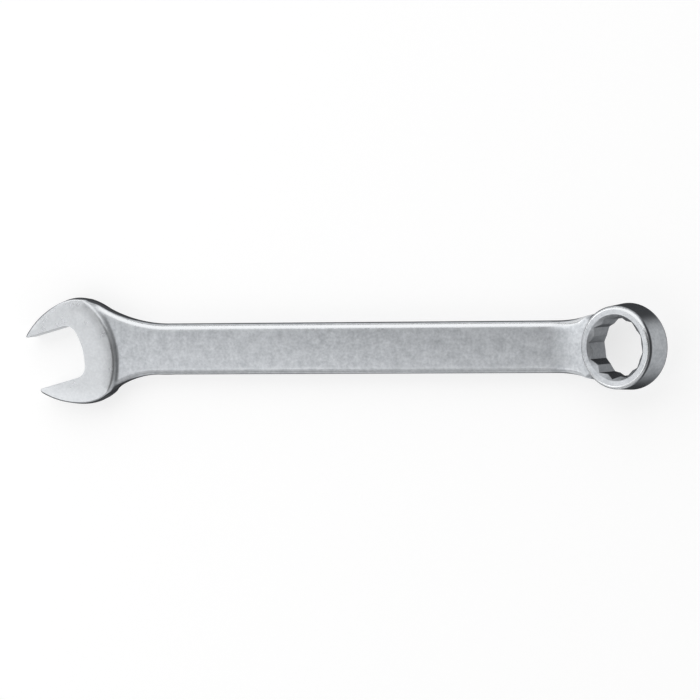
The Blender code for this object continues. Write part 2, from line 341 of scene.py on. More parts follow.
def flare_centre(side, round_y, round_radius, radius):
    """Where a flare's centre lies, from the middle of the round end that it runs into: it
    touches the bar's edge and that round."""
    height = side * (BAR_HALF_WIDTH + radius)
    return np.array((math.sqrt((round_radius + radius) ** 2 - (height - round_y) ** 2), height))


def arc(centre, radius, start, end, count):
    """Points on an arc, at even turns from its start to its end."""
    turn = np.linspace(start, end, count)
    return np.asarray(centre) + radius * np.stack((np.cos(turn), np.sin(turn)), axis=-1)


def heading(vector):
    """The turn that a vector points in."""
    return math.atan2(vector[1], vector[0])


head_centre = np.array((0.0, -HEAD_OFFSET))
wide_centre = flare_centre(1.0, -HEAD_OFFSET, BLANK_RADIUS, WIDE_FLARE)
tight_centre = flare_centre(-1.0, -HEAD_OFFSET, BLANK_RADIUS, TIGHT_FLARE)
head_plane = max(wide_centre[0], tight_centre[0]) + STRAIGHT_RUN
mouth = np.array((-math.cos(JAW_ANGLE), -math.sin(JAW_ANGLE)))
aside = np.array((-math.sin(JAW_ANGLE), math.cos(JAW_ANGLE)))
throat_centre = THROAT_RADIUS - THROAT_DEPTH
corner_aside = JAW_HALF_OPENING - THROAT_CORNER
corner_drop = math.sqrt((THROAT_RADIUS - THROAT_CORNER) ** 2 - corner_aside**2)
corner_centre = (throat_centre - corner_drop, corner_aside)
corner_turn = heading((corner_centre[0] - throat_centre, corner_centre[1]))
pad_rear_centre = PAD_REAR_RADIUS - PAD_REAR_REACH


def to_jaw(plan):
    """Plan points as seen from the head: how far along the mouth, and how far across it."""
    return np.stack(((plan - head_centre) @ mouth, (plan - head_centre) @ aside), axis=-1)


def to_plan(along, across):
    """The way back from the jaw's own directions to plan points."""
    return head_centre + along[..., None] * mouth + across[..., None] * aside


def jaw_back(tip_aside):
    """The arc down a jaw's back: it leaves the head's round and passes the tip."""
    tip = np.array((JAW_REACH, tip_aside))
    radius = HEAD_RADIUS + BACK_ARC_SHIFT
    balance = (radius**2 - BACK_ARC_SHIFT**2 - tip @ tip) / (2 * BACK_ARC_SHIFT)
    leave = heading(tip) + math.acos(balance / math.hypot(*tip))
    centre = -BACK_ARC_SHIFT * np.array((math.cos(leave), math.sin(leave)))
    return centre, radius, heading(tip - centre), leave


def pad_depth(along, across):
    """How far a point lies in from the pad's side: from the back's arc near a jaw's tip, and
    from the head's round elsewhere."""
    on_round = HEAD_RADIUS - np.hypot(along, across)
    depth = []
    for tip_aside, side in JAW_TIPS:
        centre, radius, _, leave = jaw_back(tip_aside)
        u = along - centre[0]
        v = side * across - centre[1]
        on_back = np.arctan2(v, u) < leave
        depth.append(np.where(on_back, radius - np.hypot(u, v), on_round))
    return np.where(across > 0.0, depth[0], depth[1])


def neck_depth(plan):
    """How far a point lies in from the neck's outline: from the bar's edge, from a flare or
    from the forged round, whichever it faces."""
    out = plan - head_centre
    on_round = BLANK_RADIUS - np.hypot(out[..., 0], out[..., 1])
    depth = []
    for centre, radius, side in ((wide_centre, WIDE_FLARE, 1.0), (tight_centre, TIGHT_FLARE, -1.0)):
        to_centre = centre - head_centre
        faces_round = side * (to_centre[0] * out[..., 1] - to_centre[1] * out[..., 0]) > 0.0
        away = plan - centre
        on_flare = np.hypot(away[..., 0], away[..., 1]) - radius
        on_bar = BAR_HALF_WIDTH - side * plan[..., 1]
        on_end = np.where(faces_round, on_round, on_flare)
        depth.append(np.where(away[..., 0] > 0.0, on_bar, on_end))
    return np.minimum(depth[0], depth[1])


def slot_depth(along, across):
    """How far a point lies behind the milled jaw: behind its flats, its rounded corners or the
    shallow arc of its throat."""
    across = np.abs(across - JAW_SHIFT)
    on_floor = np.hypot(along - throat_centre, across) - THROAT_RADIUS
    on_corner = np.hypot(along - corner_centre[0], across - corner_centre[1]) - THROAT_CORNER
    turn = np.arctan2(across - corner_centre[1], along - corner_centre[0])
    on_arc = np.where((turn < corner_turn) & (turn > 0.0), on_corner, on_floor)
    return np.where(along > corner_centre[0], across - JAW_HALF_OPENING, on_arc)


def rear_depth(along, across):
    """How far a point lies in from the arc that ends the pad across the neck."""
    return PAD_REAR_RADIUS - np.hypot(along - pad_rear_centre, across)


def pad_step(depth):
    """The share of the pad's extra height at a depth in from its rear edge: a small crest, a
    slope and a wide hollow, both round."""
    fall = (STEP_CREST + STEP_HOLLOW) * (1.0 - math.cos(STEP_SLOPE))
    crest_run = STEP_CREST * math.sin(STEP_SLOPE)
    hollow_run = STEP_HOLLOW * math.sin(STEP_SLOPE)
    past = np.clip(crest_run - depth, 0.0, crest_run)
    short = np.clip(hollow_run + depth, 0.0, hollow_run)
    crest = STEP_CREST - np.sqrt(STEP_CREST**2 - past**2)
    hollow = STEP_HOLLOW - np.sqrt(STEP_HOLLOW**2 - short**2)
    return np.where(depth > 0.0, 1.0 - crest / fall, hollow / fall)


def polar(jaw_points):
    """The turn and distance of points from the pole of the fan of rows."""
    along = jaw_points[:, 0] - FAN_POLE
    across = jaw_points[:, 1] - JAW_SHIFT
    return np.mod(np.arctan2(across, along), math.tau), np.hypot(along, across)


# The outlines that the rows run between, each as a turn and a distance from the pole
half_slot = np.concatenate((
    np.array(((FAN_POLE, JAW_HALF_OPENING), (corner_centre[0], JAW_HALF_OPENING))),
    arc(corner_centre, THROAT_CORNER, math.pi / 2, corner_turn, SLOT_POINTS),
    arc((throat_centre, 0.0), THROAT_RADIUS, corner_turn, math.pi, SLOT_POINTS)[1:],
))
slot_line = np.concatenate((half_slot, half_slot[-2::-1] * (1.0, -1.0))) + (0.0, JAW_SHIFT)
slot_turn, slot_reach = polar(slot_line)

pad_lines = []
for tip_aside, side in JAW_TIPS:
    centre, radius, tip_turn, leave = jaw_back(tip_aside)
    back_line = arc(centre, radius, tip_turn, leave, BACK_POINTS)
    rear_line = arc((0.0, 0.0), HEAD_RADIUS, leave, math.pi, REAR_POINTS)[1:]
    pad_lines.append(np.concatenate((back_line, rear_line)) * (1.0, side))
pad_turn, pad_reach = polar(np.concatenate((pad_lines[0], pad_lines[1][-2::-1])))

port_side = np.linspace(BAR_HALF_WIDTH, -BAR_HALF_WIDTH, PORT_POINTS)
neck_line = to_jaw(np.concatenate((
    arc(head_centre, BLANK_RADIUS, BLANK_TURN, heading(wide_centre - head_centre), NECK_POINTS),
    arc(wide_centre, WIDE_FLARE, heading(head_centre - wide_centre), -math.pi / 2, NECK_POINTS)[1:],
    np.stack((np.full(PORT_POINTS, head_plane), port_side), axis=-1),
    arc(tight_centre, TIGHT_FLARE, math.pi / 2, heading(head_centre - tight_centre), NECK_POINTS),
    arc(head_centre, BLANK_RADIUS, heading(tight_centre - head_centre), -BLANK_TURN, NECK_POINTS)[1:],
)))
neck_turn, neck_reach = polar(neck_line)


def eased(share):
    """A share with a soft start and end: three times its square, less twice its cube."""
    return share**2 * (3.0 - 2.0 * share)


def outline_reach(turn):
    """How far the head's outline lies from the pole: the neck's outline, eased out to the
    pad's where the pad's rear edge runs off the side."""
    neck = np.interp(turn, neck_turn, neck_reach)
    pad = np.interp(turn, pad_turn, pad_reach)
    past = rear_depth(FAN_POLE + neck * np.cos(turn), JAW_SHIFT + neck * np.sin(turn))
    share = np.clip(0.5 + past / (2.0 * OUTLINE_EASE), 0.0, 1.0)
    return neck + np.maximum(pad - neck, 0.0) * eased(share)


def even_turns(start, end, count):
    """Turns from one to another, at even steps along the outline."""
    turn = np.linspace(start, end, RUN_POINTS)
    reach = outline_reach(turn)
    stride = np.hypot(np.diff(reach * np.cos(turn)), np.diff(reach * np.sin(turn)))
    run = np.concatenate(((0.0,), np.cumsum(stride)))
    return np.interp(np.linspace(0.0, run[-1], count), run, turn)


# Rows: round each tip, down each jaw, and in a fan about the throat, where those that face
# the shank end on its cut
port_plan = np.stack((np.full(len(bar_across), head_plane), bar_across[::-1]), axis=-1)
port_turn, port_reach = polar(to_jaw(port_plan))
upper_turn = even_turns(UPPER_JAW, port_turn[0], UPPER_ROWS)[:-1]
lower_turn = even_turns(port_turn[-1], LOWER_JAW, LOWER_ROWS)[1:]
fan_turn = np.concatenate((upper_turn, port_turn, lower_turn))
fan_reach = np.concatenate((outline_reach(upper_turn), port_reach, outline_reach(lower_turn)))

tip_swing = np.linspace(math.pi / 2, 0.0, TIP_ROWS)
tip_along = JAW_REACH - TIP_CUT - TIP_ROUND * (1.0 - np.sin(tip_swing))
tip_inset = TIP_ROUND * (1.0 - np.cos(tip_swing))
jaw_along = np.concatenate((tip_along, np.linspace(tip_along[-1], FAN_POLE, JAW_ROWS)[1:-1]))
jaw_inset = np.concatenate((tip_inset, np.zeros(len(jaw_along) - len(tip_inset))))


def back_reach(tip_aside, shift):
    """How far a jaw's back lies from the jaw's middle line, at each row down the jaw."""
    centre, radius, _, _ = jaw_back(tip_aside)
    return centre[1] + np.sqrt(radius**2 - (jaw_along - centre[0]) ** 2) - shift


long_reach = back_reach(LONG_TIP, JAW_SHIFT)
short_reach = back_reach(SHORT_TIP, -JAW_SHIFT)
on_upper = np.full(len(jaw_along), UPPER_JAW)
on_lower = np.full(len(jaw_along), LOWER_JAW)
row_along = np.concatenate((jaw_along, np.full(len(fan_turn), FAN_POLE), jaw_along[::-1]))
row_turn = np.concatenate((on_upper, fan_turn, on_lower))
row_near = np.interp(row_turn, slot_turn, slot_reach)
row_far = np.concatenate((long_reach, fan_reach, short_reach[::-1]))
row_inset = np.concatenate((jaw_inset, np.zeros(len(fan_turn)), jaw_inset[::-1]))
port_rows = len(jaw_along) + len(upper_turn) + np.arange(len(port_turn))


def at(reach):
    """Points along each row, in the jaw's own directions."""
    along = row_along[:, None] + reach * np.cos(row_turn)[:, None]
    across = JAW_SHIFT + reach * np.sin(row_turn)[:, None]
    return along, across


# The pad's sides have the draft that let the forging out of its dies, so its faces are a
# little smaller than its outline, and the neck's sides are carried out to that outline
edge_share = pad_step(rear_depth(*at(row_far[:, None])))[:, 0]
draft = np.minimum(HEAD_DRAFT * edge_share, MOST_DRAFT * (row_far - row_near))
top_far = row_far - draft
bulge = np.maximum(top_far - np.interp(row_turn, neck_turn, neck_reach), 0.0)
bulge[port_rows] = 0.0


def side_depths(reach):
    """How far points along each row lie in from the pad's sides, and from the neck's."""
    along, across = at(reach)
    pad = np.minimum(pad_depth(along, across) - draft[:, None], top_far[:, None] - reach)
    neck = neck_depth(to_plan(along, across)) + bulge[:, None]
    return np.maximum(pad, 0.0), np.maximum(neck, 0.0)


def between(start, end, share):
    """Reaches along each row, at shares of the way from one reach to another."""
    return start[:, None] + (end - start)[:, None] * share


# Columns: the milled edge, the pad's face, the step, the neck's face and the outer edge
probe = np.linspace(0.0, 1.0, PROBE_POINTS)
row_width = top_far - row_near
probe_pad, probe_neck = side_depths(row_near[:, None] + row_width[:, None] * probe)
in_pad = (probe_pad > HEAD_EDGE).cumsum(axis=1).argmax(axis=1)
in_neck = (probe_neck > BAR_EDGE).cumsum(axis=1).argmax(axis=1)
edge_run = row_width * (1.0 - probe[in_pad] * edge_share - probe[in_neck] * (1.0 - edge_share))
port_ends = port_rows[[0, -1]]
edge_run[port_rows] = np.interp(port_rows, port_ends, edge_run[port_ends])
edge_run = np.minimum(edge_run, MOST_EDGE * row_width)
milled_run = np.minimum(MILLED_EDGE, MOST_MILLED * row_width)
from_rear = row_along - pad_rear_centre
rear_swing = from_rear * np.cos(row_turn) + JAW_SHIFT * np.sin(row_turn)
rear_room = PAD_REAR_RADIUS**2 - from_rear**2 - JAW_SHIFT**2
step_at = -rear_swing + np.sqrt(rear_swing**2 + rear_room)
face_from = row_near + milled_run
face_to = top_far - edge_run
face_room = face_to - face_from
step_from = np.minimum(step_at - STEP_RUN, face_from + MOST_TO_STEP * face_room)
step_to = np.minimum(step_at + STEP_RUN, face_from + MOST_PAST_STEP * face_room)
top_reach = np.concatenate((
    row_near[:, None] + milled_run[:, None] * (1.0 - quarter(MILLED_STEPS)[::-1])[:-1],
    between(face_from, step_from, shares(PAD_STEPS)),
    between(step_from, step_to, shares(STEP_STEPS)),
    between(step_to, face_to, shares(NECK_STEPS)),
    face_to[:, None] + edge_run[:, None] * quarter(OUTER_STEPS),
), axis=1)

along, across = at(top_reach)
pad_in, neck_in = side_depths(top_reach)
slot_in = np.maximum(slot_depth(along, across), 0.0)
rear_in = rear_depth(along, across)
pad_share = pad_step(rear_in)
rim_share = np.clip(1.0 - np.minimum(pad_in, rear_in) / PAD_CROWN_WIDTH, 0.0, 1.0)
pad_height = HEAD_HALF_THICKNESS - PAD_CROWN * rim_share**2
pad_height -= edge_drop(pad_in, HEAD_EDGE, HEAD_EDGE)
neck_height = bar_height(neck_in, BAR_EDGE)
top_height = neck_height + (pad_height - neck_height) * pad_share
top_height -= edge_drop(slot_in, MILLED_EDGE, MILLED_EDGE)

# Painted light: the neck's rounded edges carry the painted edge highlight, with painted shade on
# them near the pad, the crest of the step has a painted highlight, and the pad's faces are ground.
# The backs of the jaws and the hollow of the step are painted shade, and the milled walls are bare
# metal.
PAD_GRIND = 0.5
JAW_BACK_RUN = 8.0
JAW_BACK_PLACES = (0.0, 0.7, 1.1)
JAW_BACK_SHADE = (-1.0, -0.7, PAD_GRIND)
NECK_SHADE = 1.9
NECK_SHADE_RUN = (6.0, 22.0)
NECK_SHADE_PLACES = (0.15, 0.5)
CREST_HIGHLIGHT = 0.2
CREST_IN = 0.25
CREST_WIDTH = 0.3
HOLLOW_SHADE = 0.6
HOLLOW_IN = -0.4
HOLLOW_WIDTH = 0.65
MILLED_WEAR = 0.3


def bell(place, middle, width):
    """A bell that is 1 at its middle: e to the power of minus the square of the way from there
    in widths."""
    return np.exp(-((place - middle) / width) ** 2)


head_x, head_y = np.moveaxis(to_plan(along, across), -1, 0)
pad_grind_and_painted_light = edge_painted_light(pad_in, HEAD_EDGE, head_y)
pad_grind_and_painted_light = np.maximum(pad_grind_and_painted_light, np.where(pad_in > HEAD_EDGE, PAD_GRIND, -1.0))
# Painted shade down the backs of the jaws
jaw_back_shade = np.interp(pad_in / HEAD_EDGE, JAW_BACK_PLACES, JAW_BACK_SHADE)
pad_grind_and_painted_light += (jaw_back_shade - pad_grind_and_painted_light) * np.clip(along / JAW_BACK_RUN, 0.0, 1.0)
near_pad = np.interp(head_x, NECK_SHADE_RUN, (1.0, 0.0))
neck_painted_light = edge_painted_light(neck_in, BAR_EDGE, head_y)
# Painted shade over the neck's rounded edges near the pad
neck_painted_light -= NECK_SHADE * near_pad * np.interp(neck_in / BAR_EDGE, NECK_SHADE_PLACES, (1.0, 0.0))
top_finish_and_painted_light = neck_painted_light + (pad_grind_and_painted_light - neck_painted_light) * pad_share
# Painted highlight along the crest of the step, and painted shade in its hollow
top_finish_and_painted_light += CREST_HIGHLIGHT * bell(rear_in, CREST_IN, CREST_WIDTH)
top_finish_and_painted_light -= HOLLOW_SHADE * bell(rear_in, HOLLOW_IN, HOLLOW_WIDTH)
top_finish_and_painted_light += (MILLED_WEAR - top_finish_and_painted_light) * np.clip(1.0 - slot_in / MILLED_EDGE, 0.0, 1.0)

# The sides below, out to the line where the dies parted
side_share = np.linspace(0.0, 1.0, SIDE_STEPS + 1)[1:]
side_reach = top_far[:, None] + draft[:, None] * side_share
side_height = top_height[:, -1:] + (PARTING_HALF - top_height[:, -1:]) * side_share
# The sides keep the painted shade at the foot of the edge above them
side_finish_and_painted_light = np.repeat(top_finish_and_painted_light[:, -1:], SIDE_STEPS, axis=1)
head_reach = np.concatenate((top_reach, side_reach), axis=1)
head_height = np.concatenate((top_height, side_height), axis=1)
head_finish_and_painted_light = np.concatenate((top_finish_and_painted_light, side_finish_and_painted_light), axis=1)

# The blunt tips draw in to a small flat
slim = 1.0 - row_inset / (row_width / 2)
row_middle = (row_near + row_far) / 2
head_reach = row_middle[:, None] + (head_reach - row_middle[:, None]) * slim[:, None]
head_height *= (1.0 - row_inset / HEAD_HALF_THICKNESS)[:, None]

head_plan = to_plan(*at(head_reach))
head_top = np.concatenate((head_plan, head_height[..., None], head_finish_and_painted_light[..., None]), axis=-1)
head_points = wrap_section(head_top, head_top, HEAD_FLANK_STEPS, SLOT_WALL_STEPS)
head_points[..., :3] += (bar_start[0] - head_plane, bar_middle[1], bar_middle[2])
open_end = forged_skin("forged_open_end", head_points)
finish_piece(open_end, "open_end")


# Box end: a ring tipped up from the shank by fifteen degrees, broached with a twelve-point
# bore and countersunk on both faces. The same forging, laid out flat here and then bent up at
# the neck, which swells smoothly until it is nearly as thick as the ring.
RING_RADIUS = 15.027
RING_HALF_THICKNESS = 5.6
RING_TAPER = 0.6
RING_ANGLE = math.radians(15.0)
RING_ARM = 13.307
RIM_ROUND = 1.4
RIM_WALL = RING_HALF_THICKNESS - RIM_ROUND
RIM_MARGIN = 0.12
COUNTERSINK_RADIUS = 11.527
BORE_HALF_FLATS = 9.55
BORE_POINTS = 12
BORE_PITCH = math.tau / BORE_POINTS
BORE_TURN = math.radians(-8.0)
BOX_FLARE = 46.0
FLARE_INSET = 0.1
FRONT_STEP = 0.2
BACK_STEP = 1.5
BEND_LENGTH = 8.0
MOST_BOX_EDGE = 0.45
NECK_FROM = 0.25
NECK_OVER = 2.2

# Points along the neck's side and the bend, rows round the ring and along the neck, the
# nearest that two rows may come, and steps over each band across a row
FLARE_POINTS = 400
STRAIGHT_POINTS = 41
BEND_POINTS = 4001
RING_ROWS = 192
NECK_ROWS = 52
ROW_GAP = 0.004
HAIR = 1e-9
LEAST_SPARE = 1e-6
SINK_STEPS = 6
RIM_FLAT_POINTS = 7
RIM_STEPS = 12
BOX_FACE_STEPS = 26
BORE_STEPS = 6

box_flare = flare_centre(1.0, 0.0, RING_RADIUS - FLARE_INSET, BOX_FLARE) * (-1.0, 1.0)
box_plane = box_flare[0] - STRAIGHT_RUN
port_half_turn = math.pi - math.atan2(BAR_HALF_WIDTH, -box_plane)

# The side of the neck as a turn and a distance from the ring's middle
straight_x = np.linspace(box_flare[0], box_plane, STRAIGHT_POINTS)[1:]
flank_line = np.concatenate((
    arc(box_flare, BOX_FLARE, heading(-box_flare), -math.pi / 2, FLARE_POINTS),
    np.stack((straight_x, np.full(len(straight_x), BAR_HALF_WIDTH)), axis=-1),
))
flank_turn = np.arctan2(flank_line[:, 1], flank_line[:, 0])
flank_reach = np.hypot(flank_line[:, 0], flank_line[:, 1])
flank_run = np.concatenate(((0.0,), np.cumsum(np.hypot(*np.diff(flank_line, axis=0).T))))


def turn_size(turn):
    """How far a turn is from none at all, the shorter way round."""
    return np.abs(np.mod(turn + math.pi, math.tau) - math.pi)


# Rows: through every corner of the bore, through every point of the shank's section, and
# between them in even steps round the bore and along the neck
corner_turns = BORE_TURN + BORE_PITCH / 2 * np.arange(2 * BORE_POINTS)
cut_turns = np.arctan2(bar_across, np.full(len(bar_across), box_plane))
ring_turns = BORE_TURN + math.tau / RING_ROWS * np.arange(RING_ROWS)
neck_turns = np.interp(np.linspace(0.0, flank_run[-1], NECK_ROWS)[1:-1], flank_run, flank_turn)
fixed = np.mod(np.concatenate((corner_turns, cut_turns)), math.tau)
loose = np.mod(np.concatenate((ring_turns, neck_turns, -neck_turns)), math.tau)
loose = np.sort(loose[turn_size(loose[:, None] - fixed).min(axis=1) > ROW_GAP])
loose = loose[np.concatenate(((True,), np.diff(loose) > ROW_GAP))]
box_turn = np.sort(np.concatenate((fixed, loose)))[::-1]
fold = turn_size(box_turn)
on_cut = fold > port_half_turn - HAIR

from_corner = np.abs(np.mod(box_turn - BORE_TURN + BORE_PITCH / 2, BORE_PITCH) - BORE_PITCH / 2)
bore_reach = BORE_HALF_FLATS / np.cos(BORE_PITCH - from_corner)
ring_far = np.maximum(RING_RADIUS, np.interp(fold, flank_turn, flank_reach, left=RING_RADIUS))
ring_far = np.where(on_cut, box_plane / np.cos(fold), ring_far)
spare = np.maximum(ring_far - RING_RADIUS, LEAST_SPARE)


def around(reach):
    """Points at a distance from the ring's middle along each row, as x and y."""
    return reach * np.cos(box_turn)[:, None], reach * np.sin(box_turn)[:, None]


def box_depth(x, y):
    """How far a point lies in from the neck's side: from the bar's edge or from the flare."""
    on_flare = np.hypot(x - box_flare[0], np.abs(y) - box_flare[1]) - BOX_FLARE
    return np.where(x < box_flare[0], BAR_HALF_WIDTH - np.abs(y), on_flare)


# Where the neck's rounded edges begin along each row, and how far each row is neck or wall
edge_wide = np.minimum(BAR_EDGE, MOST_BOX_EDGE * spare)[:, None]
probe_depth = box_depth(*around(RING_RADIUS + spare[:, None] * probe))
in_box = (probe_depth > edge_wide).cumsum(axis=1).argmax(axis=1)
box_edge = spare * (1.0 - probe[in_box])
box_edge[on_cut] = box_edge[~on_cut][np.abs(fold[~on_cut] - port_half_turn).argmin()]
box_edge = np.minimum(box_edge, MOST_BOX_EDGE * spare)[:, None]
blend = eased(np.clip((spare[:, None] - NECK_FROM) / NECK_OVER, 0.0, 1.0))

# Painted light: the ring's wall is painted shade with a painted highlight at its nose only, over
# turns that differ above and below, and the neck is a little darker midway. The rim has a painted
# highlight with some rubbing, and painted shade at the heel by the neck, with a painted dark line
# round its flat and a painted dark crease under its round, at the nose and down both sides. The
# bore's flats that face up and the countersinks are painted shade.
NOSE_HIGHLIGHT = 0.78
NOSE_BRIGHT = (math.radians(8.0), math.radians(18.0))
NOSE_DARK = (math.radians(68.0), math.radians(50.0))
NECK_DARKER_MIDDLE = 0.25
RIM_RUB_AND_HIGHLIGHT = 0.3
HEEL_SHADE = 0.5
LINE_SHADE = 0.8
LINE_WIDTH = 0.08
CREASE_SHADE = 1.8
CREASE_IN = 0.3
CREASE_WIDTH = 0.26
SIDE_CREASE = 0.8
SIDE_TURN = 2.1
SIDE_SPREAD = 0.45
SINK_SHADE = -0.2
SINK_MARGIN = 0.001
BORE_UP = (0.5, 0.7)
BORE_SHADE = (-0.5, -1.0)

dark = np.cos(np.where(np.sin(box_turn) > 0.0, NOSE_DARK[1], NOSE_DARK[0]))
bright = np.cos(np.where(np.sin(box_turn) > 0.0, NOSE_BRIGHT[1], NOSE_BRIGHT[0]))
nose = np.clip((np.cos(box_turn) - dark) / (bright - dark), 0.0, 1.0)[:, None]
# Painted shade over the ring's wall, with a painted highlight at its nose
wall_painted_light = -1.0 + NOSE_HIGHLIGHT * eased(nose)
crease = np.maximum(nose, SIDE_CREASE * bell(fold[:, None], SIDE_TURN, SIDE_SPREAD))
heel = np.clip(-np.cos(box_turn), 0.0, 1.0)[:, None]
into_point = np.mod(box_turn - BORE_TURN, BORE_PITCH)
flat_turn = box_turn - into_point + np.where(into_point < BORE_PITCH / 2, BORE_PITCH, 0.0)
# Painted shade on the bore's flats that face up
bore_flat_shade = np.interp(-np.sin(flat_turn), BORE_UP, BORE_SHADE)


def neck_share(x):
    """How far along the neck a point lies, from 0 at the shank's cut to 1 at the ring."""
    return np.clip((x - box_plane) / (-RING_RADIUS - box_plane), 0.0, 1.0)


def swell(x, step):
    """How many times thicker than the bar the neck is: it grows smoothly from the shank's cut
    until, at the ring, each face is a step short of the ring's own. The growth is ten times the
    share's cube, less fifteen times its fourth power, and six times its fifth."""
    share = neck_share(x)
    gain = (RING_HALF_THICKNESS - step) / BAR_HALF_THICKNESS - 1.0
    return 1.0 + gain * share**3 * (10.0 - 15.0 * share + 6.0 * share**2)


def wall_radius(height):
    """The ring's wall tapers evenly, from its full radius at the back's rim to the front's."""
    return RING_RADIUS - RING_TAPER * (0.5 + height / (2.0 * RIM_WALL))


def box_side(facing, step):
    """One side of the box end, as places and painted light: the countersink, the rim's flat and
    round, and then the neck's face, or the ring's wall where there is no neck. The neck meets the
    rim's round a step below the ring's face, and what the round has below that is left out."""
    rim_radius = wall_radius(facing * RIM_WALL)
    rim_line = rim_radius - RIM_ROUND

    def neck(reach):
        """The neck's height and painted light: the bar's own, swollen, and a little darker midway, by
        the square of the sine of half a turn over the root of the share along it."""
        x, y = around(reach)
        depth = np.maximum(box_depth(x, y), 0.0)
        darker_middle = NECK_DARKER_MIDDLE * np.sin(math.pi * np.sqrt(neck_share(x))) ** 2
        return bar_height(depth, edge_wide) * swell(x, step), edge_painted_light(depth, edge_wide, y) - darker_middle

    meets = RIM_WALL + (neck(rim_radius)[0] - RIM_WALL) * blend
    foot = np.arccos(np.clip(1.0 - (RING_HALF_THICKNESS - meets) / RIM_ROUND, 0.0, 1.0))
    rim_foot = rim_line + RIM_ROUND * np.sin(foot)
    sink_run = COUNTERSINK_RADIUS - bore_reach
    sink = bore_reach[:, None] + sink_run[:, None] * shares(SINK_STEPS)
    rim_flat = np.linspace(COUNTERSINK_RADIUS, rim_line - RIM_MARGIN, RIM_FLAT_POINTS)
    rim_flat = np.repeat(rim_flat[None], len(box_turn), axis=0)
    rim_round = rim_line + RIM_ROUND * np.sin(foot * shares(RIM_STEPS))
    upper_reach = np.concatenate((sink, rim_flat, rim_round), axis=1)
    upper_height = RING_HALF_THICKNESS - np.maximum(COUNTERSINK_RADIUS - upper_reach, 0.0)
    upper_height -= edge_drop(rim_radius - upper_reach, RIM_ROUND, RIM_ROUND)

    face_run = ring_far[:, None] - rim_foot - box_edge
    face_reach = rim_foot + face_run * shares(BOX_FACE_STEPS)
    edge_reach = ring_far[:, None] - box_edge * (1.0 - quarter(EDGE_STEPS))
    outer_reach = np.concatenate((face_reach, edge_reach), axis=1)
    outer_height, outer_painted_light = neck(outer_reach)
    down = np.linspace(0.0, 1.0, outer_reach.shape[1])
    wall_height = RIM_WALL + (BAR_FLANK - RIM_WALL) * down
    wall_reach = wall_radius(facing * wall_height) + spare[:, None] * down
    wall_reach += (rim_foot - rim_radius) * (1.0 - down)
    lower_reach = wall_reach + (outer_reach - wall_reach) * blend
    lower_height = wall_height + (outer_height - wall_height) * blend

    rim_painted_light = edge_painted_light(rim_radius - upper_reach, RIM_ROUND, RIM_ROUND)
    # Painted highlight over the rim, with some rubbing, and painted shade at the heel
    rim_painted_light = np.maximum(rim_painted_light + RIM_RUB_AND_HIGHLIGHT - HEEL_SHADE * heel**2, wall_painted_light)
    # A painted dark line round the rim's flat, and painted shade in the crease under its round
    rim_painted_light -= LINE_SHADE * bell(upper_reach, rim_line, LINE_WIDTH)
    rim_painted_light -= CREASE_SHADE * crease * bell(upper_reach, rim_radius - CREASE_IN, CREASE_WIDTH)
    in_sink = upper_reach < COUNTERSINK_RADIUS - SINK_MARGIN
    # A little painted shade in the countersink
    upper_painted_light = np.where(in_sink, SINK_SHADE, np.minimum(rim_painted_light, 1.0))
    upper_painted_light[:, 0] = bore_flat_shade
    lower_painted_light = wall_painted_light + (outer_painted_light - wall_painted_light) * np.sqrt(blend)

    x, y = around(np.concatenate((upper_reach, lower_reach), axis=1))
    height = np.concatenate((upper_height, lower_height), axis=1)
    finish_and_painted_light = np.concatenate((upper_painted_light, lower_painted_light), axis=1)
    return np.stack((x, y, height, finish_and_painted_light), axis=-1)


def bent_up(points):
    """The flat box end with its neck bent: the middle line turns up smoothly over the bend, and
    each point keeps its place along that line and its height square to it."""
    run = np.linspace(box_plane, RING_RADIUS, BEND_POINTS)
    stride = run[1] - run[0]
    lean = RING_ANGLE * eased(np.clip((run + RING_ARM + BEND_LENGTH) / BEND_LENGTH, 0.0, 1.0))
    line_x = box_plane - stride + stride * np.cumsum(np.cos(lean))
    line_up = stride * np.cumsum(np.sin(lean))
    lean = np.interp(points[..., 0], run, lean)
    x = np.interp(points[..., 0], run, line_x) - points[..., 2] * np.sin(lean)
    up = np.interp(points[..., 0], run, line_up) + points[..., 2] * np.cos(lean)
    return np.stack((x, points[..., 1], up, points[..., 3]), axis=-1)


box_front = box_side(1.0, FRONT_STEP)
box_back = box_side(-1.0, BACK_STEP)
box_points = bent_up(wrap_section(box_front, box_back, FLANK_STEPS, BORE_STEPS))
box_points[..., :3] += (bar_end[0] - box_plane, bar_middle[1], bar_middle[2])
box_end = forged_skin("forged_box_end", box_points, comes_round=True)
finish_piece(box_end, "box_end")


# Floor: a plain pale sheet that the wrench lies on, and that takes its soft shadow.
# Painted grey, and lifted towards white only where the camera or a reflection sees it.
FLOOR_HALF = 6.0
FLOOR_GREY = (0.36, 0.36, 0.36, 1.0)
FLOOR_GLOW = (1.0, 1.0, 1.0, 1.0)
FLOOR_LIFT = 0.71
FLOOR_ROUGHNESS = 0.9
FLOOR_SHINE = 0.1
floor_corners = np.array(((-1.0, -1.0, 0.0), (1.0, -1.0, 0.0), (1.0, 1.0, 0.0), (-1.0, 1.0, 0.0)))
floor_mesh = bpy.data.meshes.new("floor")
floor_mesh.from_pydata((FLOOR_HALF * floor_corners).tolist(), [], [(0, 1, 2, 3)])
floor = bpy.data.objects.new("floor", floor_mesh)
bpy.context.scene.collection.objects.link(floor)
floor_paint = bpy.data.materials.new("pale floor")
floor_paint.use_nodes = True
floor_tree = floor_paint.node_tree
floor_shader = floor_tree.nodes["Principled BSDF"]
floor_shader.inputs["Base Color"].default_value = FLOOR_GREY
floor_shader.inputs["Roughness"].default_value = FLOOR_ROUGHNESS
floor_shader.inputs["Specular IOR Level"].default_value = FLOOR_SHINE
floor_shader.inputs["Emission Color"].default_value = FLOOR_GLOW
